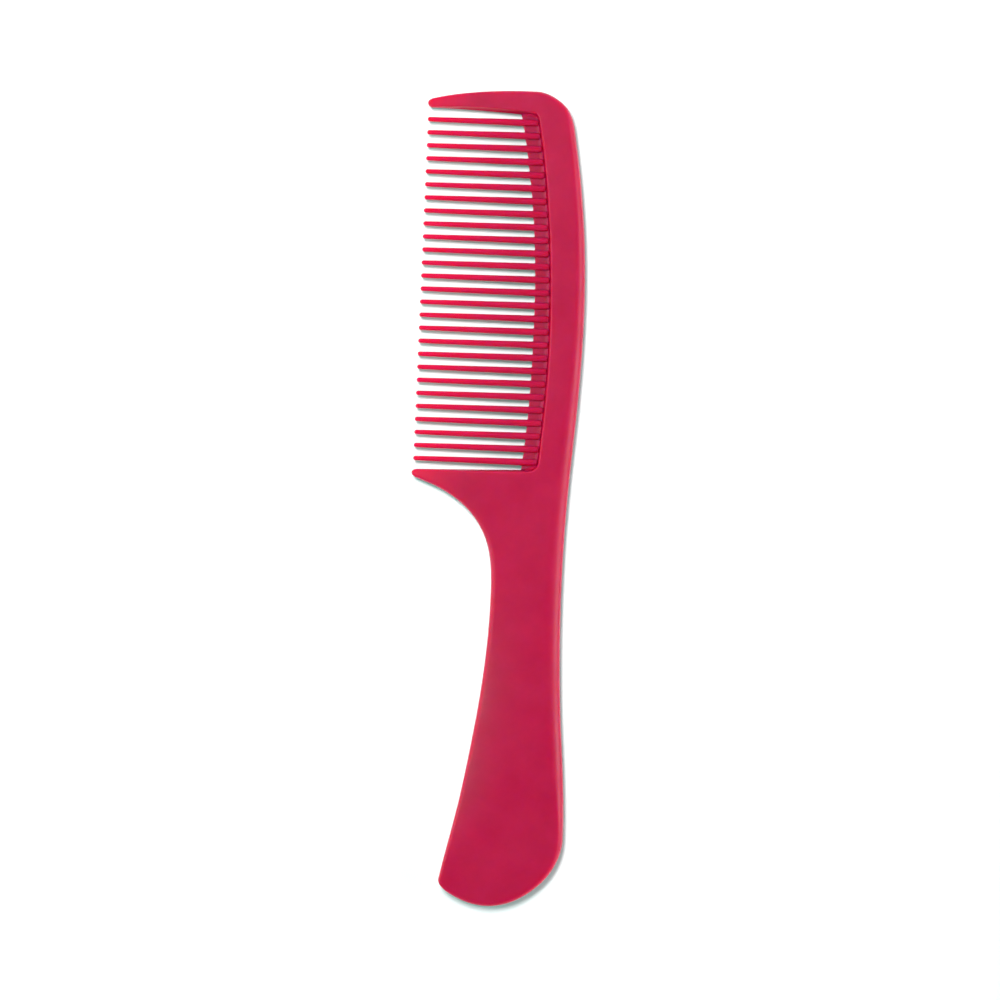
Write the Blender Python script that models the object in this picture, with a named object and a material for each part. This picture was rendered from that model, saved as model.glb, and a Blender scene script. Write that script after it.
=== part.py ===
"""Wide-tooth handle comb, moulded in one piece from crimson plastic, lying on its flat face.

The teeth point along -X and are spaced along Y, with the head of the comb at +Y, the handle
at -Y and the back at +X. The flat faces look up and down, and the origin is under the middle.
The moulding is divided into its named regions, a hair's breadth apart: the handle, the neck,
the spine, the two guard teeth, the thin web at the tooth roots and each tooth by itself.
"""

import math

import bmesh
import bpy
from mathutils import Vector
from mathutils.geometry import interpolate_bezier

MM = 0.001

# Driving dimensions, in millimetres
THICKNESS = 4.8  # of the spine and the handle
EDGE_RADIUS = 1.4  # rounding of the outer rim
EDGE_SEGMENTS = 3
RIM_SHARE = 0.3  # the rim round the teeth is rounded by this share of EDGE_RADIUS
GUARD_TIP_SHARE = 0.55  # a guard's thickness at its tip, as a share of THICKNESS
PART_GAP = 0.3  # between neighbouring regions

TEETH = 27
TOOTH_PITCH = 3.452
FIRST_TOOTH_Y = 99.56
FIRST_TIP_X = -21.4
LAST_TIP_X = -21.8
TIP_WIDTH = 1.09
TIP_HEIGHT = 1.7
ROOT_WIDTH = 1.84
ROOT_HEIGHT = 3.9
ROOT_X = 7.0  # where the width and the height reach their root values
TALLEST_RIB = 4.3  # the height goes on growing beyond ROOT_X, but only up to this
CORNER_SHARE = 0.45  # of a tooth's half width, cut off at each corner of its section
TIP_ROUNDING = 0.55
RIB_ROUNDING = 0.6
# A blunt end, as (share of the rounding's length from the end, share of the full section).
END_SHAPE = ((0.0, 0.5), (0.25, 0.8), (1.0, 1.0))
RIB_STUB = 0.6  # how far a rib stands out of the web before the free tooth begins
RIB_END_GAP = 0.5  # between a rib's end and the wall of the recess

WEB_THICKNESS = 1.6
WEB_END_WIDTH = 0.4  # the least width left at either end of the web

# Where one region ends and the next begins
HANDLE_TOP_Y = -22.0
NECK_TOP_Y = 11.2
UPPER_GUARD_ROOT_X = 5.8
LOWER_GUARD_ROOT_X = -2.0
FAR = 150.0  # beyond every end of the comb

# Each outline knot is (x, y, heading in degrees), counter-clockwise round the plastic.
# The outer rim runs from the lower guard's tip, down the handle, up the back and over the head.
OUTER_RIM = (
    (-22.05, 6.0, 270),
    (-20.6, 4.6, 338),
    (-14.3, 2.05, 332),
    (-8.76, -1.51, 322),
    (-2.55, -9.21, 296.5),
    (0.1, -25.0, 270),
    (-2.94, -60.9, 261.1),
    (-6.98, -83.7, 257.8),
    (-10.88, -101.2, 258.5),
    (-10.2, -103.1, 310),
    (-6.4, -105.79, 333),
    (2.0, -107.95, 360),
    (16.62, -101.02, 46.8),
    (21.65, -89.0, 90),
    (20.26, -63.2, 95),
    (18.74, -24.0, 90),
    (20.24, 12.3, 85.4),
    (22.0, 50.0, 90),
    (20.76, 75.92, 95.6),
    (18.07, 95.68, 99.5),
    (14.66, 104.61, 138),
    (7.0, 107.95, 180),
    (-19.8, 105.25, 194),
    (-21.42, 103.95, 270),
)
UPPER_GUARD_EDGE = (
    (-21.42, 103.95, 270),
    (-20.2, 102.68, 360),
    (2.6, 101.84, 356.7),
)
RECESS_WALL = (
    (2.6, 101.84, 356.7),
    (5.8, 101.65, 356.7),
    (8.4, 98.9, 281),
    (11.7, 74.0, 275.1),
    (13.05, 41.0, 270),
    (11.35, 10.3, 265.3),
    (8.6, 7.75, 181.6),
    (6.0, 7.68, 181.6),
)
LOWER_GUARD_EDGE = (
    (6.0, 7.68, 181.6),
    (-20.5, 6.97, 181.2),
    (-22.05, 6.0, 270),
)
# The free edge of the web, between the teeth, from the lower guard up to the upper one.
WEB_EDGE = (
    (6.87, 7.9, 83),
    (8.82, 49.6, 90),
    (6.52, 83.9, 98),
    (3.45, 101.5, 103),
)

CRIMSON = (0.546, 0.023, 0.080, 1.0)
ROUGHNESS = 0.38
SHARP_ANGLE = 35  # degrees between two faces, above which their edge isn't shaded smooth


def clear_scene():
    for item in list(bpy.data.objects):
        bpy.data.objects.remove(item, do_unlink=True)


def unit(heading):
    return Vector((math.cos(math.radians(heading)), math.sin(math.radians(heading))))


def path(knots, finest_turn=9.0, longest_step=9.0):
    """Points along the smooth curve that leaves each knot with its heading, the last left out."""
    points = []
    for (x0, y0, heading0), (x1, y1, heading1) in zip(knots, knots[1:]):
        start, end = Vector((x0, y0)), Vector((x1, y1))
        turn = abs((heading1 - heading0 + 180) % 360 - 180)
        chord = (end - start).length
        handle = chord / (3 * math.cos(math.radians(turn) / 4) ** 2)
        steps = max(1, math.ceil(turn / finest_turn), math.ceil(chord / longest_step))
        points += interpolate_bezier(
            start, start + unit(heading0) * handle, end - unit(heading1) * handle, end, steps + 1
        )[:-1]
    return [Vector((p.x, p.y)) for p in points]


def end_of(knots):
    return Vector(knots[-1][:2])


def x_at(points, y):
    """The x where a path that keeps climbing or keeps falling passes this y."""
    for a, b in zip(points, points[1:]):
        if min(a.y, b.y) <= y <= max(a.y, b.y) and a.y != b.y:
            return a.x + (b.x - a.x) * (y - a.y) / (b.y - a.y)
    raise ValueError(f"the path doesn't reach y = {y}")


def inset(points, distance):
    """An open path moved to its right by the distance."""
    moved = []
    for i, point in enumerate(points):
        along = points[min(i + 1, len(points) - 1)] - points[max(i - 1, 0)]
        along.normalize()
        moved.append(point + Vector((along.y, -along.x)) * distance)
    return moved


def plastic(name):
    material = bpy.data.materials.new(name + "_plastic")
    material.use_nodes = True
    shader = material.node_tree.nodes["Principled BSDF"]
    shader.inputs["Base Color"].default_value = CRIMSON
    shader.inputs["Roughness"].default_value = ROUGHNESS
    shader.inputs["Metallic"].default_value = 0.0
    return material


def add_object(name, bm):
    """A new object at the model's origin, from a bmesh drawn in millimetres."""
    bmesh.ops.scale(bm, vec=(MM, MM, MM), verts=bm.verts)
    bmesh.ops.recalc_face_normals(bm, faces=bm.faces)
    mesh = bpy.data.meshes.new(name)
    bm.to_mesh(mesh)
    bm.free()
    obj = bpy.data.objects.new(name, mesh)
    bpy.context.scene.collection.objects.link(obj)
    return obj


def finish_part(obj):
    obj.data.materials.clear()
    obj.data.materials.append(plastic(obj.name))
    obj.data.shade_smooth()
    obj.data.set_sharp_from_angle(angle=math.radians(SHARP_ANGLE))


def hide_helper(obj):
    obj.hide_render = True
    obj.display_type = "WIRE"


def plate_bmesh(points, low, high):
    """A flat plate with this outline, from one height to another."""
    bm = bmesh.new()
    floor = bm.faces.new([bm.verts.new((p.x, p.y, low)) for p in points])
    raised = bmesh.ops.extrude_face_region(bm, geom=[floor])
    verts = [item for item in raised["geom"] if isinstance(item, bmesh.types.BMVert)]
    bmesh.ops.translate(bm, verts=verts, vec=(0, 0, high - low))
    return bm


def box_cutter(name, x_range, y_range):
    (x0, x1), (y0, y1) = x_range, y_range
    corners = [Vector(c) for c in ((x0, y0), (x1, y0), (x1, y1), (x0, y1))]
    cutter = add_object(name, plate_bmesh(corners, -THICKNESS, 2 * THICKNESS))
    hide_helper(cutter)
    return cutter


def settle_modifiers(obj):
    """Replaces the object's mesh with the one that its modifiers make."""
    bpy.context.view_layer.update()
    evaluated = obj.evaluated_get(bpy.context.evaluated_depsgraph_get())
    settled = bpy.data.meshes.new_from_object(evaluated)
    obj.modifiers.clear()
    obj.data = settled


def make_blank():
    """The whole frame of the comb, teeth and web left out, with its rims rounded."""
    outer = path(OUTER_RIM)
    inner = path(UPPER_GUARD_EDGE) + path(RECESS_WALL) + path(LOWER_GUARD_EDGE)
    bm = plate_bmesh(outer + inner, 0, THICKNESS)
    weight = bm.edges.layers.float.new("bevel_weight_edge")
    inner_spots = {(round(p.x, 3), round(p.y, 3)) for p in inner}
    for edge in bm.edges:
        a, b = edge.verts
        if abs(a.co.z - b.co.z) > THICKNESS / 2:
            continue
        on_inner = any((round(v.co.x, 3), round(v.co.y, 3)) in inner_spots for v in edge.verts)
        edge[weight] = RIM_SHARE if on_inner else 1.0
    blank = add_object("blank", bm)
    rounding = blank.modifiers.new("rim", "BEVEL")
    rounding.limit_method = "WEIGHT"
    rounding.width = EDGE_RADIUS * MM
    rounding.segments = EDGE_SEGMENTS
    settle_modifiers(blank)
    hide_helper(blank)
    return blank


def cut_region(name, blank, x_range, y_range):
    """The stretch of the blank inside this range, held back from its neighbours by half a gap."""
    obj = bpy.data.objects.new(name, blank.data.copy())
    bpy.context.scene.collection.objects.link(obj)
    keep = obj.modifiers.new("region", "BOOLEAN")
    keep.operation = "INTERSECT"
    keep.object = box_cutter(name + "_region", x_range, y_range)
    settle_modifiers(obj)
    return obj


def thin_towards_tip(obj, root_x, tip_x):
    """Thins a guard evenly about its middle plane, from its root to its tip."""
    for vertex in obj.data.vertices:
        way = (root_x - vertex.co.x / MM) / (root_x - tip_x)
        share = 1 - (1 - GUARD_TIP_SHARE) * way
        middle = THICKNESS / 2 * MM
        vertex.co.z = middle + (vertex.co.z - middle) * share


def tooth_size(x):
    """Half the width and half the height of a tooth where it passes x."""
    way = (x - LAST_TIP_X) / (ROOT_X - LAST_TIP_X)
    width = TIP_WIDTH + (ROOT_WIDTH - TIP_WIDTH) * way
    height = min(TIP_HEIGHT + (ROOT_HEIGHT - TIP_HEIGHT) * way, TALLEST_RIB)
    return width / 2, height / 2


def tooth_section(bm, x, y, share):
    """One eight-sided ring of a tooth, shrunk to this share of its full size."""
    half_width, half_height = (size * share for size in tooth_size(x))
    corner = CORNER_SHARE * half_width
    around = (
        (half_width, half_height - corner),
        (half_width - corner, half_height),
        (corner - half_width, half_height),
        (-half_width, half_height - corner),
        (-half_width, corner - half_height),
        (corner - half_width, -half_height),
        (half_width - corner, -half_height),
        (half_width, corner - half_height),
    )
    return [bm.verts.new((x, y + side, THICKNESS / 2 + up)) for side, up in around]


def blunt_end(x, rounding):
    """Rings from an end at x, inwards if the rounding is positive and backwards if not."""
    return [(x + rounding * along, share) for along, share in END_SHAPE]


def add_tooth_bar(bm, y, stations):
    """A closed bar along X through rings given as (x, share of the full size)."""
    rings = [tooth_section(bm, x, y, share) for x, share in stations]
    for near, far in zip(rings, rings[1:]):
        for i, vertex in enumerate(near):
            after = (i + 1) % len(near)
            bm.faces.new((vertex, near[after], far[after], far[i]))
    bm.faces.new(rings[0])
    bm.faces.new(rings[-1])


def tooth_rows():
    """Each tooth's number, height along Y and tip, from the head down."""
    for i in range(TEETH):
        tip_x = FIRST_TIP_X + (LAST_TIP_X - FIRST_TIP_X) * i / (TEETH - 1)
        yield i + 1, FIRST_TOOTH_Y - TOOTH_PITCH * i, tip_x


def make_frame_parts():
    blank = make_blank()
    half_gap = PART_GAP / 2
    regions = {
        "handle": ((-FAR, FAR), (-FAR, HANDLE_TOP_Y - half_gap)),
        "neck": (
            (LOWER_GUARD_ROOT_X + half_gap, FAR),
            (HANDLE_TOP_Y + half_gap, NECK_TOP_Y - half_gap),
        ),
        "spine": ((UPPER_GUARD_ROOT_X + half_gap, FAR), (NECK_TOP_Y + half_gap, FAR)),
        "upper_guard": ((-FAR, UPPER_GUARD_ROOT_X - half_gap), (NECK_TOP_Y + half_gap, FAR)),
        "lower_guard": (
            (-FAR, LOWER_GUARD_ROOT_X - half_gap),
            (HANDLE_TOP_Y + half_gap, NECK_TOP_Y - half_gap),
        ),
    }
    parts = {name: cut_region(name, blank, *ranges) for name, ranges in regions.items()}
    thin_towards_tip(parts["upper_guard"], UPPER_GUARD_ROOT_X, FIRST_TIP_X)
    thin_towards_tip(parts["lower_guard"], LOWER_GUARD_ROOT_X, LAST_TIP_X)
    for part in parts.values():
        finish_part(part)


def make_root_web():
    """The thin plate at the tooth roots, with the root of every tooth standing on it as a rib."""
    wall = path(RECESS_WALL) + [end_of(RECESS_WALL)]
    free_edge = path(WEB_EDGE) + [end_of(WEB_EDGE)]
    pocket = inset(wall, PART_GAP)
    bottom, top = free_edge[0], free_edge[-1]
    beside_edge = []
    for point in pocket:
        edge_x = x_at(free_edge, min(max(point.y, bottom.y), top.y))
        if point.x > edge_x + WEB_END_WIDTH:
            beside_edge.append(point)
    middle = THICKNESS / 2
    low, high = middle - WEB_THICKNESS / 2, middle + WEB_THICKNESS / 2
    top_end = Vector((top.x, beside_edge[0].y))
    bottom_end = Vector((bottom.x, beside_edge[-1].y))
    outline = [top_end] + beside_edge + [bottom_end] + free_edge[1:-1]
    web = add_object("root_web", plate_bmesh(outline, low, high))

    ribs = bmesh.new()
    for _, y, _ in tooth_rows():
        start = x_at(free_edge, y) - RIB_STUB
        end = x_at(wall, y) - RIB_END_GAP
        add_tooth_bar(ribs, y, blunt_end(end, -RIB_ROUNDING) + [(start, 1.0)])
    rib_tool = add_object("ribs", ribs)
    hide_helper(rib_tool)
    join = web.modifiers.new("ribs", "BOOLEAN")
    join.operation = "UNION"
    join.object = rib_tool
    settle_modifiers(web)
    finish_part(web)


def make_teeth():
    free_edge = path(WEB_EDGE) + [end_of(WEB_EDGE)]
    for number, y, tip_x in tooth_rows():
        root_x = x_at(free_edge, y) - RIB_STUB - PART_GAP
        bm = bmesh.new()
        add_tooth_bar(bm, y, blunt_end(tip_x, TIP_ROUNDING) + [(root_x, 1.0)])
        finish_part(add_object(f"tooth_{number:02d}", bm))


clear_scene()
make_frame_parts()
make_root_web()
make_teeth()
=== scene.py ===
import math

import bmesh
import bpy
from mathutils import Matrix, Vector
from mathutils.geometry import interpolate_bezier


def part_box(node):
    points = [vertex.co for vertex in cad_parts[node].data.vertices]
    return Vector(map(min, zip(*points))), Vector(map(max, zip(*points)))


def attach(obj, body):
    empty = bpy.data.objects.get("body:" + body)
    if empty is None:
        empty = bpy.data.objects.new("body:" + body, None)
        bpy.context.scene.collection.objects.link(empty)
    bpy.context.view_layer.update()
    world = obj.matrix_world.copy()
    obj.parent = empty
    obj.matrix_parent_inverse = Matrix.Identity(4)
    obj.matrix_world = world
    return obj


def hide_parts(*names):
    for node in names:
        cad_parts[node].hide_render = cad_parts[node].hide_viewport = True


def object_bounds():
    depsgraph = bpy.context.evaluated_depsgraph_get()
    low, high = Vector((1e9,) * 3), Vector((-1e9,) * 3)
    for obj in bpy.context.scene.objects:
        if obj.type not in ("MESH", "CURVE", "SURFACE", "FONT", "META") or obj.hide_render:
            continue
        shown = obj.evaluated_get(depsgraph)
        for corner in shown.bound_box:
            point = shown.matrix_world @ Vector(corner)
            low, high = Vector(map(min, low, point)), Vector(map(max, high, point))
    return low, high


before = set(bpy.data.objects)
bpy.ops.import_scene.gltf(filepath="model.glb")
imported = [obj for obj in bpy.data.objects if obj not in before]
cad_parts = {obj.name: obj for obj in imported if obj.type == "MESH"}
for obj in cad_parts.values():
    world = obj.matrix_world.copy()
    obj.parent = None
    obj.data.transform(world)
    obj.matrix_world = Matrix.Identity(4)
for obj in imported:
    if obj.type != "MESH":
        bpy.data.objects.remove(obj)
cad_low, cad_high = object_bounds()

# ---- Frame of the comb -------------------------------------------------------------------
# Handle, neck, spine and both guard teeth, one seamless run of satin crimson plastic. It is
# injection moulded between two mould halves that meet at half its thickness, so both faces
# are alike, the walls lean back a little from a fine parting line, and the rims are rounded.

MM = 0.001
MIDDLE = (cad_low.z + cad_high.z) / 2
HALF = (cad_high.z - cad_low.z) / 2 / MM
PARTING_RIDGE = 0.03
TALLEST_RIM = 1.5
RIM_STEPS = 9
# These set the painted rim glow: a lighter crimson on rims facing -Y, less on those facing -X,
# standing for light coming out through them.
GLOW_RINGS = 7
SIDE_GLOW = 0.8
OUTER_DRAFT = 0.06
RECESS_DRAFT = 0.4
GUARD_DRAFT = 0.75
GUARD_DRAFT_X = -6.0
GUARD_TIP_X = -23.0
RECESS_CORNER_X = 4.0
GRID_STEP = 3.0
LEVEL_TOLERANCE = 0.000001
SLIVER = 0.00001
MERGE_WIDTH = 0.001

# Each knot of the outline is (x, y, heading in degrees, width of the rim's rounding), in
# millimetres, counter-clockwise round the plastic.
OUTER_KNOTS = (
    (-22.05, 6.0, 270, 0.6),
    (-20.6, 4.6, 338, 0.8),
    (-14.3, 2.05, 332, 1.0),
    (-8.76, -1.51, 322, 1.1),
    (-2.55, -9.21, 296.5, 1.2),
    (0.1, -25.0, 270, 1.2),
    (-2.94, -60.9, 261.1, 1.2),
    (-6.98, -83.7, 257.8, 0.8),
    (-10.88, -101.2, 258.5, 0.6),
    (-10.2, -103.1, 310, 0.6),
    (-6.4, -105.79, 333, 0.9),
    (2.0, -107.95, 360, 0.9),
    (16.62, -101.02, 46.8, 1.0),
    (21.65, -89.0, 90, 1.5),
    (20.26, -63.2, 95, 4.2),
    (18.74, -24.0, 90, 4.4),
    (20.24, 12.3, 85.4, 3.9),
    (22.0, 50.0, 90, 2.6),
    (20.76, 75.92, 95.6, 2.3),
    (18.07, 95.68, 99.5, 1.9),
    (14.66, 104.61, 138, 1.1),
    (7.0, 107.95, 180, 0.9),
    (-19.8, 105.25, 194, 0.8),
    (-21.42, 103.95, 270, 0.6),
)
INNER_RIM = 0.45
UPPER_GUARD_KNOTS = (
    (-21.42, 103.95, 270, 0.6),
    (-20.2, 102.68, 360, 0.4),
    (2.6, 101.84, 356.7, INNER_RIM),
)
RECESS_KNOTS = (
    (2.6, 101.84, 356.7, INNER_RIM),
    (6.7, 101.58, 356.7, INNER_RIM),
    (7.76, 100.4, 281, INNER_RIM),
    (11.4, 74.0, 275.1, INNER_RIM),
    (12.72, 41.0, 270, INNER_RIM),
    (11.0, 9.9, 265.3, INNER_RIM),
    (8.7, 7.76, 181.6, INNER_RIM),
    (6.0, 7.68, 181.6, INNER_RIM),
)
LOWER_GUARD_KNOTS = (
    (6.0, 7.68, 181.6, INNER_RIM),
    (-20.5, 6.97, 181.2, 0.4),
    (-22.05, 6.0, 270, 0.6),
)


def unit(heading):
    """A step of length 1 along a heading, counter-clockwise from +X."""
    return Vector((math.cos(math.radians(heading)), math.sin(math.radians(heading))))


def ease(way):
    """Rises smoothly from 0 to 1 as way does."""
    way = min(max(way, 0.0), 1.0)
    return way * way * (3 - 2 * way)


def path(knots, finest_turn=4.0, longest_step=2.0):
    """(point, value) along the smooth curve through the knots, the last left out."""
    steps_taken = []
    for (x0, y0, heading0, value0), (x1, y1, heading1, value1) in zip(knots, knots[1:]):
        start, end = Vector((x0, y0)), Vector((x1, y1))
        turn = abs((heading1 - heading0 + 180) % 360 - 180)
        chord = (end - start).length
        lever = chord / (3 * math.cos(math.radians(turn) / 4) ** 2)
        steps = max(1, math.ceil(turn / finest_turn), math.ceil(chord / longest_step))
        curve = interpolate_bezier(
            start, start + unit(heading0) * lever, end - unit(heading1) * lever, end, steps + 1
        )
        for i, point in enumerate(curve[:-1]):
            value = value0 + (value1 - value0) * ease(i / steps)
            steps_taken.append((Vector((point.x, point.y)), value))
    return steps_taken


def inward(points):
    """The direction into the plastic at each point of a closed outline."""
    directions = []
    for i, point in enumerate(points):
        before = (point - points[i - 1]).normalized()
        after = (points[(i + 1) % len(points)] - point).normalized()
        along = (before + after).normalized()
        directions.append(Vector((-along.y, along.x)))
    return directions


def deselect_all():
    if bpy.context.mode != "OBJECT":
        bpy.ops.object.mode_set(mode="OBJECT")
    bpy.ops.object.select_all(action="DESELECT")


def moulded_plate(name, points, profiles):
    """A plate with this outline, alike above and below its middle plane.

    A profile is one outline point's rim, as (distance in from the outline, height above the
    middle plane) from ring to ring, the first of them on the middle plane.
    """
    deselect_all()
    bpy.ops.mesh.primitive_circle_add(vertices=len(points), location=(0, 0, 0))
    plate = bpy.context.active_object
    plate.name = name
    plate.data.name = name
    into = inward(points)
    plate.data.attributes.new("painted_rim_glow", "FLOAT", "POINT")
    number = plate.data.attributes.new("outline_number", "INT", "POINT")
    number.data.foreach_set("value", range(len(points)))
    for ring in range(len(profiles[0])):
        bpy.ops.object.mode_set(mode="EDIT")
        if ring == 0:
            bpy.ops.mesh.select_all(action="SELECT")
        else:
            bpy.ops.mesh.extrude_edges_move()
        mesh = bmesh.from_edit_mesh(plate.data)
        layer = mesh.verts.layers.int["outline_number"]
        glow = mesh.verts.layers.float["painted_rim_glow"]
        # Painted rim glow: rims facing -Y, and less those facing -X, get the lighter crimson for
        # light coming out through them, fading out towards the face.
        fade = ease((len(profiles[0]) - 1 - ring) / GLOW_RINGS)
        for vertex in mesh.verts:
            if vertex.select:
                i = vertex[layer]
                distance, height = profiles[i][ring]
                spot = points[i] + into[i] * distance
                vertex.co = (spot.x, spot.y, height)
                vertex[glow] = fade * max(into[i].y, SIDE_GLOW * into[i].x, 0.0)
        bmesh.update_edit_mesh(plate.data)
    bpy.ops.mesh.fill(use_beauty=True)
    return plate


def grid_cut(plate, lowest, highest, step):
    """Cuts the plate's level face, which is selected, into a grid in X and Y."""
    for axis in (0, 1):
        normal = Vector((1, 0, 0)) if axis == 0 else Vector((0, 1, 0))
        count = math.ceil((highest[axis] - lowest[axis]) / step)
        for i in range(1, count):
            place = lowest[axis] + i * (highest[axis] - lowest[axis]) / count
            bpy.ops.mesh.bisect(plane_co=normal * place, plane_no=normal)
            bpy.ops.mesh.select_all(action="DESELECT")
            mesh = bmesh.from_edit_mesh(plate.data)
            top = max(vertex.co.z for vertex in mesh.verts)
            for face in mesh.faces:
                if all(vertex.co.z > top - LEVEL_TOLERANCE for vertex in face.verts):
                    face.select_set(True)
            bmesh.update_edit_mesh(plate.data)


def close_plate(plate, height):
    """Mirrors the upper half down, and puts the piece at its height in metres."""
    bpy.ops.mesh.select_all(action="SELECT")
    bpy.ops.mesh.dissolve_degenerate(threshold=SLIVER)
    bpy.ops.object.mode_set(mode="OBJECT")
    plate.data.attributes.remove(plate.data.attributes["outline_number"])
    mirror = plate.modifiers.new("other half", "MIRROR")
    mirror.use_axis = (False, False, True)
    mirror.merge_threshold = MERGE_WIDTH
    bpy.ops.object.modifier_apply(modifier=mirror.name)
    bpy.ops.object.mode_set(mode="EDIT")
    bpy.ops.mesh.select_all(action="SELECT")
    bpy.ops.transform.resize(value=(MM, MM, MM), center_override=(0, 0, 0))
    bpy.ops.transform.translate(value=(0, 0, height))
    bpy.ops.mesh.normals_make_consistent(inside=False)
    bpy.ops.object.mode_set(mode="OBJECT")
    bpy.ops.object.shade_smooth()


outer = path(OUTER_KNOTS)
guard_edge = path(UPPER_GUARD_KNOTS)
recess = path(RECESS_KNOTS)
lower_edge = path(LOWER_GUARD_KNOTS)


def frame_rim(width, draft):
    """Parting ridge, leaning wall and a quarter ellipse, from the middle plane to the face."""
    height = min(width, TALLEST_RIM)
    wall_top = HALF - height
    rim = [(-PARTING_RIDGE, 0), (-PARTING_RIDGE, PARTING_RIDGE), (0, 2 * PARTING_RIDGE)]
    rim.append((draft / 2, wall_top / 2))
    for step in range(RIM_STEPS + 1):
        angle = math.radians(90 * step / RIM_STEPS)
        distance = draft + width * (1 - math.cos(angle))
        rim.append((distance, wall_top + height * math.sin(angle)))
    return rim


frame_outline = outer + guard_edge + recess + lower_edge
recess_first = len(outer) + len(guard_edge)
recess_last = recess_first + len(recess)
frame_points = [point for point, _ in frame_outline]
frame_into = inward(frame_points)


def draft_at(i, x):
    """How far the wall leans back at one outline point: most under the upper guard."""
    if i < len(outer):
        return OUTER_DRAFT
    if i < recess_first:
        way = ease((x - GUARD_TIP_X) / (GUARD_DRAFT_X - GUARD_TIP_X))
        return OUTER_DRAFT + (GUARD_DRAFT - OUTER_DRAFT) * way
    if i < (recess_first + recess_last) // 2:
        way = ease((x - RECESS_KNOTS[0][0]) / (RECESS_KNOTS[2][0] - RECESS_KNOTS[0][0]))
        return GUARD_DRAFT + (RECESS_DRAFT - GUARD_DRAFT) * way
    way = ease((x - GUARD_TIP_X) / (RECESS_CORNER_X - GUARD_TIP_X))
    return OUTER_DRAFT + (RECESS_DRAFT - OUTER_DRAFT) * way


frame_profiles = []
for i, (point, width) in enumerate(frame_outline):
    frame_profiles.append(frame_rim(width, draft_at(i, point.x)))
comb_frame = moulded_plate("comb_frame", frame_points, frame_profiles)
low = (cad_low.x / MM, cad_low.y / MM)
high = (cad_high.x / MM, cad_high.y / MM)
grid_cut(comb_frame, low, high, GRID_STEP)


def x_at(points, y):
    """The x where a line of points that keeps climbing or falling passes this y."""
    for a, b in zip(points, points[1:]):
        if min(a.y, b.y) <= y <= max(a.y, b.y) and a.y != b.y:
            return a.x + (b.x - a.x) * (y - a.y) / (b.y - a.y)
    return (points[0] if abs(points[0].y - y) < abs(points[-1].y - y) else points[-1]).x


# The guards thin from these roots towards their tips, more and more as they go.
UPPER_GUARD_ROOT_X = 5.8
LOWER_GUARD_ROOT_X = -2.0
GUARD_TIP_SHARE = 0.55
GUARD_BEND = 0.65
GUARDS_PART_Y = 60.0
LOWER_GUARD_END_Y = -12.0

# The handle's face falls away towards its front edge, easing in and out along its length.
HANDLE_FALL = 0.85
HANDLE_FALL_WIDTH = 12.5
FALL_TOP_Y = -15.0
FALL_TOP_EASE = 35.0
FALL_END_Y = -98.0
FALL_END_EASE = 25.0
FRONT_EDGE_TOP_Y = 3.0
FRONT_EDGE_FAR_X = 3.0
below_guard = [point for point, _ in outer if point.y < FRONT_EDGE_TOP_Y][: len(outer) // 2]
front_edge = [point for point in below_guard if point.x < FRONT_EDGE_FAR_X]
guard_tip_x = cad_low.x / MM
mesh = bmesh.from_edit_mesh(comb_frame.data)
for vertex in mesh.verts:
    x, y, z = vertex.co
    share = 1.0
    for root_x, reached in (
        (UPPER_GUARD_ROOT_X, y > GUARDS_PART_Y),
        (LOWER_GUARD_ROOT_X, LOWER_GUARD_END_Y < y < GUARDS_PART_Y),
    ):
        if reached and x < root_x:
            way = (root_x - x) / (root_x - guard_tip_x)
            share = 1 - (1 - GUARD_TIP_SHARE) * way * (1 - GUARD_BEND + GUARD_BEND * way)
    if y < FALL_TOP_Y:
        inside = x - x_at(front_edge, y)
        reach = ease((FALL_TOP_Y - y) / FALL_TOP_EASE) * ease((y - FALL_END_Y) / FALL_END_EASE)
        fall = HANDLE_FALL * reach * max(0.0, 1 - inside / HANDLE_FALL_WIDTH) ** 2
        share *= 1 - fall / HALF
    vertex.co.z = z * share
bmesh.update_edit_mesh(comb_frame.data)
close_plate(comb_frame, MIDDLE)
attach(comb_frame, "root")
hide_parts("handle", "neck", "spine", "upper_guard", "lower_guard")


def node_at(nodes, kind, x, y):
    node = nodes.new(kind)
    node.location = (x, y)
    return node


def new_group(name, inputs, outputs):
    """An empty node group with float, colour or vector sockets, and its two ends."""
    group = bpy.data.node_groups.new(name, "ShaderNodeTree")
    for label, kind, value in inputs:
        socket = group.interface.new_socket(label, in_out="INPUT", socket_type=kind)
        socket.default_value = value
    for label, kind in outputs:
        group.interface.new_socket(label, in_out="OUTPUT", socket_type=kind)
    start = node_at(group.nodes, "NodeGroupInput", -800, 0)
    end = node_at(group.nodes, "NodeGroupOutput", 800, 0)
    return group, start, end


FLOAT = "NodeSocketFloat"
COLOUR = "NodeSocketColor"
VECTOR = "NodeSocketVector"
NOISE_LOW = 0.3
NOISE_HIGH = 0.7
# Below these heights, on the handle, there is none of the painted glow of the thin ends.
GLOW_STARTS_Y = -0.012
GLOW_FULL_Y = 0.002


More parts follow.
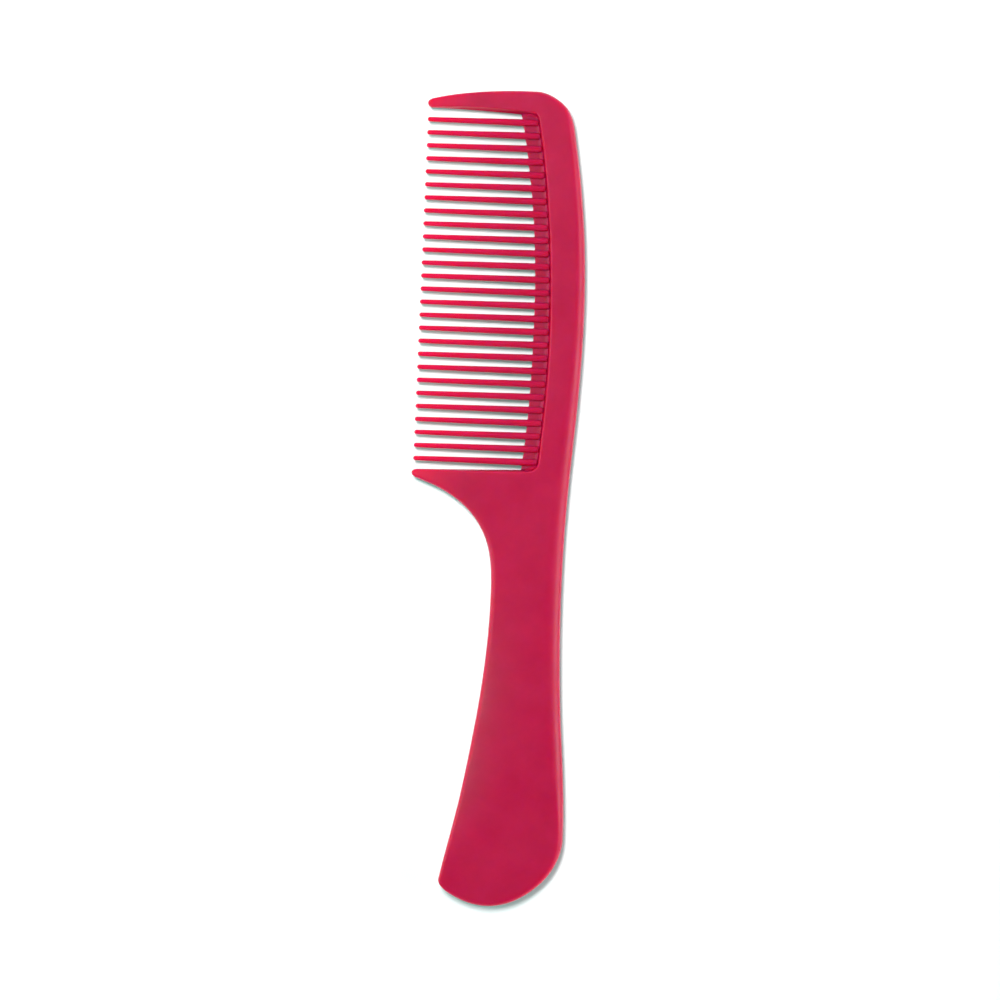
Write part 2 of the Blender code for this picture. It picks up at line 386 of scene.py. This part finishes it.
def build_satin_grain():
    """Fine mould texture: roughness that drifts, and a normal from two sizes of noise."""
    group, start, end = new_group(
        "satin_grain",
        (
            ("Grain", FLOAT, 1500.0),
            ("Grain Depth", FLOAT, 0.000026),
            ("Sink", FLOAT, 110.0),
            ("Sink Depth", FLOAT, 0.00002),
            ("Smoothest", FLOAT, 0.3),
            ("Roughest", FLOAT, 0.4),
        ),
        (("Roughness", FLOAT), ("Normal", VECTOR)),
    )
    nodes, links = group.nodes, group.links
    place = node_at(nodes, "ShaderNodeTexCoord", -800, 300)
    fine = node_at(nodes, "ShaderNodeTexNoise", -500, 300)
    fine.inputs["Detail"].default_value = 3.0
    fine.inputs["Roughness"].default_value = 0.6
    broad = node_at(nodes, "ShaderNodeTexNoise", -500, 0)
    broad.inputs["Detail"].default_value = 2.0
    links.new(place.outputs["Object"], fine.inputs["Vector"])
    links.new(place.outputs["Object"], broad.inputs["Vector"])
    links.new(start.outputs["Grain"], fine.inputs["Scale"])
    links.new(start.outputs["Sink"], broad.inputs["Scale"])
    drift = node_at(nodes, "ShaderNodeMapRange", -200, -200)
    drift.inputs["From Min"].default_value = NOISE_LOW
    drift.inputs["From Max"].default_value = NOISE_HIGH
    links.new(broad.outputs["Fac"], drift.inputs["Value"])
    links.new(start.outputs["Smoothest"], drift.inputs["To Min"])
    links.new(start.outputs["Roughest"], drift.inputs["To Max"])
    links.new(drift.outputs["Result"], end.inputs["Roughness"])
    sink = node_at(nodes, "ShaderNodeBump", -100, 100)
    links.new(broad.outputs["Fac"], sink.inputs["Height"])
    links.new(start.outputs["Sink Depth"], sink.inputs["Distance"])
    grain = node_at(nodes, "ShaderNodeBump", 200, 200)
    links.new(fine.outputs["Fac"], grain.inputs["Height"])
    links.new(start.outputs["Grain Depth"], grain.inputs["Distance"])
    links.new(sink.outputs["Normal"], grain.inputs["Normal"])
    links.new(grain.outputs["Normal"], end.inputs["Normal"])
    return group


def build_pigment():
    """Crimson in soft clouds a few millimetres wide, with a painted glow where the plastic thins.

    The painted glow is a brighter crimson that stands for light passing through the plastic.
    It grows towards -X between its start and full positions, on the teeth and guards but not
    below them, where the handle is, and lies on the rims that the painted rim glow attribute
    marks.
    """
    group, start, end = new_group(
        "pigment",
        (
            ("Deep", COLOUR, (0.4, 0.01, 0.05, 1)),
            ("Light", COLOUR, (0.5, 0.02, 0.07, 1)),
            ("Cloud", FLOAT, 160.0),
            ("Painted Glow", COLOUR, (0.6, 0.001, 0.05, 1)),
            ("Painted Glow Start", FLOAT, 0.0),
            ("Painted Glow Full", FLOAT, -0.02),
        ),
        (("Color", COLOUR),),
    )
    nodes, links = group.nodes, group.links
    place = node_at(nodes, "ShaderNodeTexCoord", -800, 300)
    cloud = node_at(nodes, "ShaderNodeTexNoise", -500, 200)
    cloud.inputs["Detail"].default_value = 5.0
    cloud.inputs["Roughness"].default_value = 0.65
    links.new(place.outputs["Object"], cloud.inputs["Vector"])
    links.new(start.outputs["Cloud"], cloud.inputs["Scale"])
    spread = node_at(nodes, "ShaderNodeMapRange", -200, 200)
    spread.inputs["From Min"].default_value = NOISE_LOW
    spread.inputs["From Max"].default_value = NOISE_HIGH
    links.new(cloud.outputs["Fac"], spread.inputs["Value"])
    blend = node_at(nodes, "ShaderNodeMix", 100, 100)
    blend.data_type = "RGBA"
    links.new(spread.outputs["Result"], blend.inputs["Factor"])
    links.new(start.outputs["Deep"], blend.inputs["A"])
    links.new(start.outputs["Light"], blend.inputs["B"])
    axes = node_at(nodes, "ShaderNodeSeparateXYZ", -500, -200)
    links.new(place.outputs["Object"], axes.inputs["Vector"])
    painted_glow_along_x = node_at(nodes, "ShaderNodeMapRange", -200, -100)
    links.new(axes.outputs["X"], painted_glow_along_x.inputs["Value"])
    links.new(start.outputs["Painted Glow Start"], painted_glow_along_x.inputs["From Min"])
    links.new(start.outputs["Painted Glow Full"], painted_glow_along_x.inputs["From Max"])
    above = node_at(nodes, "ShaderNodeMapRange", -200, -400)
    above.inputs["From Min"].default_value = GLOW_STARTS_Y
    above.inputs["From Max"].default_value = GLOW_FULL_Y
    links.new(axes.outputs["Y"], above.inputs["Value"])
    both = node_at(nodes, "ShaderNodeMath", 100, -200)
    both.operation = "MULTIPLY"
    links.new(painted_glow_along_x.outputs["Result"], both.inputs[0])
    links.new(above.outputs["Result"], both.inputs[1])
    rim = node_at(nodes, "ShaderNodeAttribute", -200, -600)
    rim.attribute_name = "painted_rim_glow"
    either = node_at(nodes, "ShaderNodeMath", 250, -300)
    either.operation = "MAXIMUM"
    links.new(both.outputs["Value"], either.inputs[0])
    links.new(rim.outputs["Fac"], either.inputs[1])
    glow = node_at(nodes, "ShaderNodeMix", 400, 0)
    glow.data_type = "RGBA"
    links.new(either.outputs["Value"], glow.inputs["Factor"])
    links.new(blend.outputs["Result"], glow.inputs["A"])
    links.new(start.outputs["Painted Glow"], glow.inputs["B"])
    links.new(glow.outputs["Result"], end.inputs["Color"])
    return group


satin_grain = build_satin_grain()
pigment = build_pigment()
DEEP_CRIMSON = (0.395, 0.0020, 0.046, 1.0)
LIGHT_CRIMSON = (0.445, 0.0050, 0.056, 1.0)
# The lighter crimson of the painted glow, standing for light passing through thin plastic and out
# at rims.
PAINTED_GLOW_CRIMSON = (0.60, 0.0010, 0.050, 1.0)
SCATTER_RADIUS = (1.0, 0.08, 0.12)
SCATTER_SCALE = 0.005
PLASTIC_IOR = 1.5


def crimson_plastic(name, painted_glow_start, painted_glow_full, smoothest=0.30, roughest=0.40):
    """Satin crimson that scatters light inside it, with its grain and painted glow on thin ends.
    """
    material = bpy.data.materials.new(name)
    material.use_nodes = True
    nodes, links = material.node_tree.nodes, material.node_tree.links
    shader = nodes["Principled BSDF"]
    shader.inputs["Subsurface Weight"].default_value = 1.0
    shader.inputs["Subsurface Radius"].default_value = SCATTER_RADIUS
    shader.inputs["Subsurface Scale"].default_value = SCATTER_SCALE
    shader.inputs["IOR"].default_value = PLASTIC_IOR
    colour = node_at(nodes, "ShaderNodeGroup", -400, 300)
    colour.node_tree = pigment
    colour.inputs["Deep"].default_value = DEEP_CRIMSON
    colour.inputs["Light"].default_value = LIGHT_CRIMSON
    colour.inputs["Painted Glow"].default_value = PAINTED_GLOW_CRIMSON
    colour.inputs["Painted Glow Start"].default_value = painted_glow_start
    colour.inputs["Painted Glow Full"].default_value = painted_glow_full
    links.new(colour.outputs["Color"], shader.inputs["Base Color"])
    surface = node_at(nodes, "ShaderNodeGroup", -400, 0)
    surface.node_tree = satin_grain
    surface.inputs["Smoothest"].default_value = smoothest
    surface.inputs["Roughest"].default_value = roughest
    links.new(surface.outputs["Roughness"], shader.inputs["Roughness"])
    links.new(surface.outputs["Normal"], shader.inputs["Normal"])
    return material


frame_plastic = crimson_plastic("frame_plastic", painted_glow_start=-0.008, painted_glow_full=-0.024)
comb_frame.data.materials.append(frame_plastic)

# ---- Web at the tooth roots ----------------------------------------------------------------
# A thin plate of the same plastic that closes the recess between the spine and the slots. Its
# free edge is rounded, each slot ends in small corner radii, and a cove meets the wall.

WEB_HALF = 0.7
WEB_RIM = 0.32
SLOT_CORNER = 0.3
CORNER_STEPS = 4
WALL_OVERLAP = 0.5
WEB_END_LAP = 0.22
COVE_WIDTH = 1.2
COVE_RISE = 0.5
COVE_STEPS = 8
COVE_TAPER = 2.5
COVE_LEAST = 0.2
EDGE_MARGIN = 0.6
WEB_EDGE_KNOTS = (
    (6.87, 7.9, 83, 0),
    (8.82, 49.6, 90, 0),
    (6.52, 83.9, 98, 0),
    (3.45, 101.5, 103, 0),
)
TOOTH_NAMES = sorted(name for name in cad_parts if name.startswith("tooth_"))
free_edge = [point for point, _ in path(WEB_EDGE_KNOTS)] + [Vector(WEB_EDGE_KNOTS[-1][:2])]
wall = [point for point, _ in recess] + [Vector(RECESS_KNOTS[-1][:2])]


def tooth_place(name):
    """A tooth's tip x, middle y and half width at its root, in millimetres."""
    lowest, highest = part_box(name)
    return lowest.x / MM, (lowest.y + highest.y) / 2 / MM, (highest.y - lowest.y) / 2 / MM


def cove_rim(width):
    """The web's face curving up to meet the wall, which hides the first of it."""
    rim = [(0, 0)]
    for step in range(COVE_STEPS + 1):
        way = step / COVE_STEPS
        rim.append((WALL_OVERLAP + width * way, WEB_HALF + COVE_RISE * (1 - way) ** 2))
    return rim


rounded = [(0, 0)]
for step in range(COVE_STEPS + 1):
    angle = math.radians(90 * step / COVE_STEPS)
    rounded.append(
        (WEB_RIM * (1 - math.cos(angle)), WEB_HALF - WEB_RIM * (1 - math.sin(angle)))
    )
web_points = []
web_profiles = []
for i in range(recess_first, recess_last):
    point = frame_points[i]
    beyond = point.x - x_at(free_edge, point.y) - EDGE_MARGIN
    if beyond > 0:
        share = COVE_LEAST + (1 - COVE_LEAST) * ease(beyond / COVE_TAPER)
        web_points.append(point + frame_into[i] * WALL_OVERLAP)
        web_profiles.append(cove_rim(COVE_WIDTH * share))
flanks = [(WEB_EDGE_KNOTS[0][1] - WEB_END_LAP, 1)]
for name in reversed(TOOTH_NAMES):
    _, y, half_width = tooth_place(name)
    flanks += [(y - half_width, -1), (y + half_width, 1)]
flanks.append((WEB_EDGE_KNOTS[-1][1] + WEB_END_LAP, -1))
for flank, side in flanks:
    fillet = []
    for step in range(CORNER_STEPS + 1):
        angle = math.radians(90 * step / CORNER_STEPS)
        fillet.append(Vector((
            x_at(free_edge, flank) - SLOT_CORNER * (1 - math.sin(angle)),
            flank + side * SLOT_CORNER * (1 - math.cos(angle)),
        )))
    if side < 0:
        fillet.reverse()
    web_points += fillet
    web_profiles += [rounded] * len(fillet)
web_points.reverse()
web_profiles.reverse()
root_web = moulded_plate("tooth_root_web", web_points, web_profiles)
close_plate(root_web, MIDDLE)
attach(root_web, "root")
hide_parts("root_web")
web_plastic = crimson_plastic(
    "web_plastic", painted_glow_start=0.0, painted_glow_full=-0.023, smoothest=0.36, roughest=0.48
)
root_web.data.materials.append(web_plastic)

# ---- Teeth ---------------------------------------------------------------------------------
# 27 tapered, rounded bars of the same plastic. Each starts a little way inside the recess wall,
# crosses the web as a rib on both its faces, and runs free to a thin blunt tip that lets some
# light through. A painted glow in the colour also brightens the tips and each lower flank.

TIP_HALF_WIDTH = 0.62
TIP_HALF_HEIGHT = 0.85
ROOT_HALF_WIDTH = 0.97
ROOT_HALF_HEIGHT = 1.95
TIP_ROUNDING = 0.62
RIB_ROUNDING = 0.8
RIB_SINK = 0.3
SECTION_POINTS = 20
SQUARENESS = 2.5
PATTERN_LENGTH = 33.0
TAPER_SPEED = 1.12
END_STEPS = 6
SHAFT_PARTS = (0.2, 0.4, 0.6, 0.8)
TOOTH_SPECULAR = 0.3


def superellipse(angle, half_width, half_height):
    """A point on the rim of a tooth's section: how far across and how far up."""
    c, s = math.cos(angle), math.sin(angle)
    y = math.copysign(abs(c) ** (2 / SQUARENESS), c) * half_width
    z = math.copysign(abs(s) ** (2 / SQUARENESS), s) * half_height
    return y, z


deselect_all()
bpy.ops.mesh.primitive_circle_add(vertices=SECTION_POINTS, fill_type="NGON", location=(0, 0, 0))
pattern = bpy.context.active_object
pattern.data.attributes.new("painted_rim_glow", "FLOAT", "POINT")
number = pattern.data.attributes.new("outline_number", "INT", "POINT")
number.data.foreach_set("value", range(SECTION_POINTS))
stations = []
for step in range(1, END_STEPS + 1):
    angle = math.radians(90 * step / END_STEPS)
    stations.append((TIP_ROUNDING * (1 - math.cos(angle)), math.sin(angle)))
stations += [(PATTERN_LENGTH * part, 1.0) for part in SHAFT_PARTS]
for step in range(END_STEPS):
    angle = math.radians(90 * step / END_STEPS)
    stations.append((PATTERN_LENGTH - RIB_ROUNDING * (1 - math.sin(angle)), math.cos(angle)))
for ring, (along, share) in enumerate(stations):
    bpy.ops.object.mode_set(mode="EDIT")
    if ring == 0:
        bpy.ops.mesh.select_all(action="SELECT")
    else:
        bpy.ops.mesh.extrude_region_move()
    mesh = bmesh.from_edit_mesh(pattern.data)
    layer = mesh.verts.layers.int["outline_number"]
    glow = mesh.verts.layers.float["painted_rim_glow"]
    way = min(along / PATTERN_LENGTH * TAPER_SPEED, 1.0)
    half_width = (TIP_HALF_WIDTH + (ROOT_HALF_WIDTH - TIP_HALF_WIDTH) * way) * share
    half_height = (TIP_HALF_HEIGHT + (ROOT_HALF_HEIGHT - TIP_HALF_HEIGHT) * way) * share
    for vertex in mesh.verts:
        if vertex.select:
            angle = 2 * math.pi * vertex[layer] / SECTION_POINTS
            vertex.co = (along, *superellipse(angle, half_width, half_height))
            # Painted glow: the flank facing -Y gets the lighter crimson, standing for light
            # passing through the tooth.
            vertex[glow] = ease(-math.cos(angle))
    bmesh.update_edit_mesh(pattern.data)
bpy.ops.mesh.select_all(action="SELECT")
bpy.ops.mesh.normals_make_consistent(inside=False)
bpy.ops.object.mode_set(mode="OBJECT")
pattern.data.attributes.remove(pattern.data.attributes["outline_number"])
bpy.ops.object.shade_smooth()

tooth_plastic = crimson_plastic("tooth_plastic", painted_glow_start=0.003, painted_glow_full=-0.020)
shader = tooth_plastic.node_tree.nodes["Principled BSDF"]
shader.inputs["Specular IOR Level"].default_value = TOOTH_SPECULAR
for name in TOOTH_NAMES:
    tip_x, y, _ = tooth_place(name)
    length = x_at(wall, y) + RIB_SINK - tip_x
    deselect_all()
    pattern.select_set(True)
    bpy.context.view_layer.objects.active = pattern
    bpy.ops.object.duplicate()
    tooth = bpy.context.active_object
    tooth.name = "comb_" + name
    tooth.data.name = tooth.name
    for vertex in tooth.data.vertices:
        along = vertex.co.x
        if along > PATTERN_LENGTH / 2:
            along += length - PATTERN_LENGTH
        vertex.co = (
            (tip_x + along) * MM,
            (y + vertex.co.y) * MM,
            MIDDLE + vertex.co.z * MM,
        )
    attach(tooth, "root")
    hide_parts(name)
    tooth.data.materials.append(tooth_plastic)
bpy.data.objects.remove(pattern)

# ---- Floor, light and camera ---------------------------------------------------------------
# A white table with a painted glow, teal near the comb to lift and tint the shadows there and
# pinkish further off, and a colour that turns warmer away from the comb to offset the teal light;
# a soft sun and a near panel from the upper left, panels that leave a sheen along both sides,
# a low fill from the right, pale surroundings that are bright low down, and a camera that looks
# straight down on the comb.

# The table's emission is painted light: a teal glow near the comb that lifts and tints the
# shadows, a pinkish one further off; its colour is warmer further off to offset the teal light.
FLOOR_SIZE = 60.0
PAINTED_FLOOR_GLOW = 0.3
NEAR_DISTANCE = 0.19
FAR_DISTANCE = 0.55
NEAR_WHITE = (0.83, 0.845, 0.84, 1)
FAR_WHITE = (0.98, 0.90, 0.90, 1)
NEAR_PAINTED_GLOW = (0.0, 0.27, 0.24, 1)
FAR_PAINTED_GLOW = (0.85, 0.62, 0.62, 1)
bpy.ops.mesh.primitive_plane_add(size=FLOOR_SIZE, location=(0, 0, cad_low.z))
floor = bpy.context.active_object
floor.name = "white_table"
white = bpy.data.materials.new("white_table")
white.use_nodes = True
shader = white.node_tree.nodes["Principled BSDF"]
shader.inputs["Roughness"].default_value = 0.7
shader.inputs["Specular IOR Level"].default_value = 0.2
shader.inputs["Emission Strength"].default_value = PAINTED_FLOOR_GLOW
nodes, links = white.node_tree.nodes, white.node_tree.links
place = node_at(nodes, "ShaderNodeTexCoord", -1000, 0)
distance = node_at(nodes, "ShaderNodeVectorMath", -800, 0)
distance.operation = "LENGTH"
links.new(place.outputs["Object"], distance.inputs[0])
away = node_at(nodes, "ShaderNodeMapRange", -600, 0)
away.inputs["From Min"].default_value = NEAR_DISTANCE
away.inputs["From Max"].default_value = FAR_DISTANCE
links.new(distance.outputs["Value"], away.inputs["Value"])
for socket, near, far in (
    ("Base Color", NEAR_WHITE, FAR_WHITE),
    ("Emission Color", NEAR_PAINTED_GLOW, FAR_PAINTED_GLOW),
):
    tint = node_at(nodes, "ShaderNodeMix", -300, 0)
    tint.data_type = "RGBA"
    links.new(away.outputs["Result"], tint.inputs["Factor"])
    tint.inputs["A"].default_value = near
    tint.inputs["B"].default_value = far
    links.new(tint.outputs["Result"], shader.inputs[socket])
floor.data.materials.append(white)


def towards(azimuth, elevation):
    """The direction of a light; azimuth is counter-clockwise from +X."""
    level = math.cos(math.radians(elevation))
    return Vector((
        math.cos(math.radians(azimuth)) * level,
        math.sin(math.radians(azimuth)) * level,
        math.sin(math.radians(elevation)),
    ))


def add_sun(name, azimuth, elevation, strength, softness, colour):
    """A distant light whose disc is this many degrees wide, and which leaves no gloss."""
    bpy.ops.object.light_add(type="SUN", location=(0, 0, 1))
    sun = bpy.context.active_object
    sun.name = name
    sun.data.energy = strength
    sun.data.angle = math.radians(softness)
    sun.data.color = colour
    sun.rotation_euler = towards(azimuth, elevation).to_track_quat("Z", "Y").to_euler()
    sun.visible_glossy = False


def add_panel(name, azimuth, elevation, distance, width, power, gloss, colour=(1, 1, 1)):
    """A round soft panel this far from the comb, facing it."""
    way = towards(azimuth, elevation)
    bpy.ops.object.light_add(type="AREA", location=way * distance)
    panel = bpy.context.active_object
    panel.name = name
    panel.data.shape = "DISK"
    panel.data.size = width
    panel.data.energy = power
    panel.data.color = colour
    panel.rotation_euler = way.to_track_quat("Z", "Y").to_euler()
    panel.visible_glossy = gloss
    return panel


add_sun("soft_key", 128, 69, strength=2.0, softness=16, colour=(1.0, 0.82, 0.86))
add_panel("near_key", 122, 69, distance=0.55, width=0.16, power=1.68, gloss=False)
add_panel(
    "head_sheen", 102, 73, distance=0.7, width=0.2, power=0.15, gloss=True, colour=(0.4, 1.0, 1.0)
)
add_panel(
    "left_sheen", 183, 67, distance=0.8, width=0.16, power=0.6, gloss=True, colour=(0.3, 1.0, 0.8)
)
add_panel("left_edge_sheen", 182, 35, distance=0.8, width=0.4, power=0.6, gloss=True)
add_sun("side_fill", 2, 9, strength=3.0, softness=30, colour=(1.0, 0.9, 0.9))
right_edge_sheen = add_panel(
    "right_edge_sheen", 0, 42, distance=0.8, width=0.4, power=1.45, gloss=True
)
right_edge_sheen.visible_diffuse = False

world = bpy.data.worlds.new("pale_room")
bpy.context.scene.world = world
world.use_nodes = True
nodes, links = world.node_tree.nodes, world.node_tree.links
nodes.clear()
direction = node_at(nodes, "ShaderNodeTexCoord", -800, 0)
split = node_at(nodes, "ShaderNodeSeparateXYZ", -600, 0)
links.new(direction.outputs["Generated"], split.inputs["Vector"])
ramp = node_at(nodes, "ShaderNodeValToRGB", -400, 0)
links.new(split.outputs["Z"], ramp.inputs["Fac"])
HORIZON = (1.0, 1.0, 1.0)
CEILING = (0.3, 1.0, 0.94)
stops = (
    (0.0, 1.0, HORIZON),
    (0.05, 1.0, HORIZON),
    (0.12, 0.75, CEILING),
    (0.35, 0.68, CEILING),
    (0.75, 0.15, CEILING),
    (1.0, 0.02, CEILING),
)
elements = ramp.color_ramp.elements
while len(elements) < len(stops):
    elements.new(0.5)
for element, (position, level, tint) in zip(elements, stops):
    element.position = position
    element.color = (*(level * channel for channel in tint), 1)
sky = node_at(nodes, "ShaderNodeBackground", -100, 0)
links.new(ramp.outputs["Color"], sky.inputs["Color"])
sky.inputs["Strength"].default_value = 1.0
out = node_at(nodes, "ShaderNodeOutputWorld", 100, 0)
links.new(sky.outputs["Background"], out.inputs["Surface"])

VIEW_WIDTH = 0.26471
VIEW_TURN = 2.2
VIEW_CENTRE = (0.00161, -0.000445)
LENS = 200.0
SENSOR = 36.0
bpy.ops.object.camera_add(rotation=(0, 0, math.radians(VIEW_TURN)))
camera = bpy.context.active_object
camera.name = "overhead_camera"
camera.data.lens = LENS
camera.data.sensor_width = SENSOR
camera.location = (*VIEW_CENTRE, MIDDLE + VIEW_WIDTH * LENS / SENSOR)
bpy.context.scene.camera = camera
bpy.context.scene.view_settings.view_transform = "Standard"
